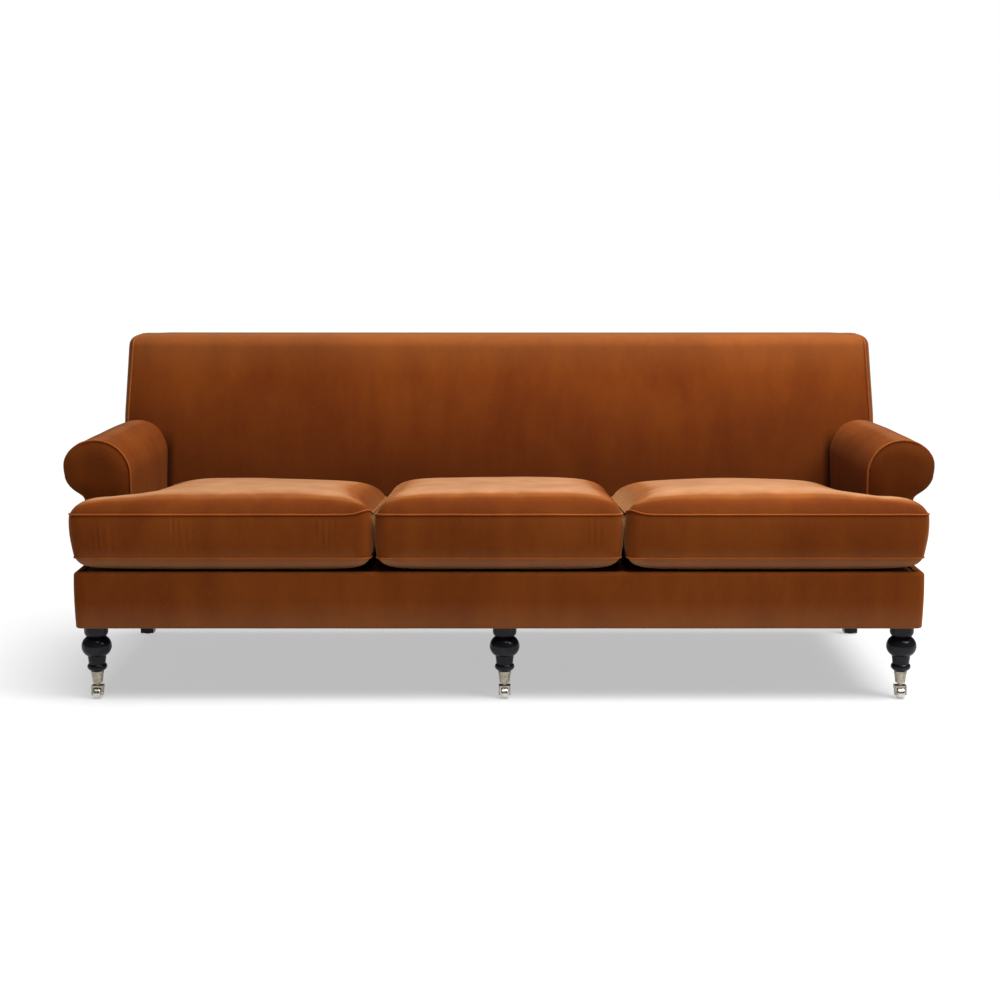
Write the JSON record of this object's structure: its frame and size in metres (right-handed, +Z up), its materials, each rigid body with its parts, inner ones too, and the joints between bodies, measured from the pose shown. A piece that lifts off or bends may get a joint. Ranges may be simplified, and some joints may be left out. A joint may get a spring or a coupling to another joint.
{
  "type": "tight back sofa",
  "caption": "Upholstered sofa with a tight raked back, low rolled arms, loose seat cushions, turned front legs on casters and plain rear legs.",
  "frame": {"origin": "on the floor, under the middle of the sofa's width and depth", "axes": "+X to the right along the sofa as seen from the front, +Y from the front to the back, +Z up"},
  "size_m": [2.1844, 0.9148, 0.8633],
  "materials": {
    "velvet": "rust velvet, soft sheen",
    "deck_cloth": "plain lining cloth",
    "dust_cloth": "black non-woven",
    "foam": "open-cell foam",
    "frame_wood": "planed, unfinished",
    "former_board": "pressed board",
    "spring_steel": "oiled wire",
    "zinc_steel": "zinc plated",
    "black_lacquer": "black satin lacquer",
    "glide_plastic": "nylon",
    "antique_nickel": "antique nickel",
    "bright_nickel": "polished nickel"
  },
  "bodies": {
    "frame": {"arm_formers": "former_board", "arm_front_cover_left": "velvet", "arm_front_cover_right": "velvet", "arm_front_posts": "frame_wood", "arm_lower_rails": "frame_wood", "arm_pad_left": "foam", "arm_pad_right": "foam", "arm_top_rails": "frame_wood", "arm_welts": "velvet", "back_centre_posts": "frame_wood", "back_lower_rail": "frame_wood", "back_pad": "foam", "back_posts": "frame_wood", "back_rail": "frame_wood", "back_side_cover_left": "velvet", "back_side_cover_right": "velvet", "back_springs": "spring_steel", "back_top_rail": "frame_wood", "back_welts": "velvet", "corner_blocks": "frame_wood", "cross_rails": "frame_wood", "deck_cover": "deck_cloth", "deck_pad": "foam", "dust_cover": "dust_cloth", "frame_screws": "zinc_steel", "front_border_cover": "velvet", "front_leg_centre": "black_lacquer", "front_leg_left": "black_lacquer", "front_leg_right": "black_lacquer", "front_rail": "frame_wood", "inside_arm_cover_left": "velvet", "inside_arm_cover_right": "velvet", "inside_back_cover": "velvet", "leg_bolts": "zinc_steel", "leg_ferrules": "antique_nickel", "outside_arm_cover_left": "velvet", "outside_arm_cover_right": "velvet", "outside_back_cover": "velvet", "rear_glides": "glide_plastic", "rear_leg_left": "black_lacquer", "rear_leg_right": "black_lacquer", "seat_springs": "spring_steel", "side_rails": "frame_wood", "spring_clips": "spring_steel"},
    "caster_left": {"caster_fork_left": "antique_nickel", "caster_axle_left": "bright_nickel"},
    "wheel_left": {"caster_wheel_left": "bright_nickel"},
    "caster_centre": {"caster_fork_centre": "antique_nickel", "caster_axle_centre": "bright_nickel"},
    "wheel_centre": {"caster_wheel_centre": "bright_nickel"},
    "caster_right": {"caster_fork_right": "antique_nickel", "caster_axle_right": "bright_nickel"},
    "wheel_right": {"caster_wheel_right": "bright_nickel"},
    "cushion_left": {"cushion_left_core": "foam", "cushion_left_cover": "velvet"},
    "cushion_middle": {"cushion_middle_core": "foam", "cushion_middle_cover": "velvet"},
    "cushion_right": {"cushion_right_core": "foam", "cushion_right_cover": "velvet"}
  },
  "joints": [
    {"name": "caster_left_swivel", "type": "hinge", "parent": "frame", "child": "caster_left", "pos_m": [-1, -0.39, 0.04], "axis": [0, 0, 1], "continuous": true},
    {"name": "wheel_left_roll", "type": "hinge", "parent": "caster_left", "child": "wheel_left", "pos_m": [-1, -0.397, 0.014], "axis": [1, 0, 0], "continuous": true},
    {"name": "caster_centre_swivel", "type": "hinge", "parent": "frame", "child": "caster_centre", "pos_m": [0.014, -0.39, 0.04], "axis": [0, 0, 1], "continuous": true},
    {"name": "wheel_centre_roll", "type": "hinge", "parent": "caster_centre", "child": "wheel_centre", "pos_m": [0.014, -0.397, 0.014], "axis": [1, 0, 0], "continuous": true},
    {"name": "caster_right_swivel", "type": "hinge", "parent": "frame", "child": "caster_right", "pos_m": [1, -0.39, 0.04], "axis": [0, 0, 1], "continuous": true},
    {"name": "wheel_right_roll", "type": "hinge", "parent": "caster_right", "child": "wheel_right", "pos_m": [1, -0.397, 0.014], "axis": [1, 0, 0], "continuous": true},
    {"name": "cushion_left_lift", "type": "slide", "parent": "frame", "child": "cushion_left", "axis": [0, 0, 1], "range_m": [0, 0.4]},
    {"name": "cushion_middle_lift", "type": "slide", "parent": "frame", "child": "cushion_middle", "axis": [0, 0, 1], "range_m": [0, 0.4]},
    {"name": "cushion_right_lift", "type": "slide", "parent": "frame", "child": "cushion_right", "axis": [0, 0, 1], "range_m": [0, 0.4]}
  ]
}
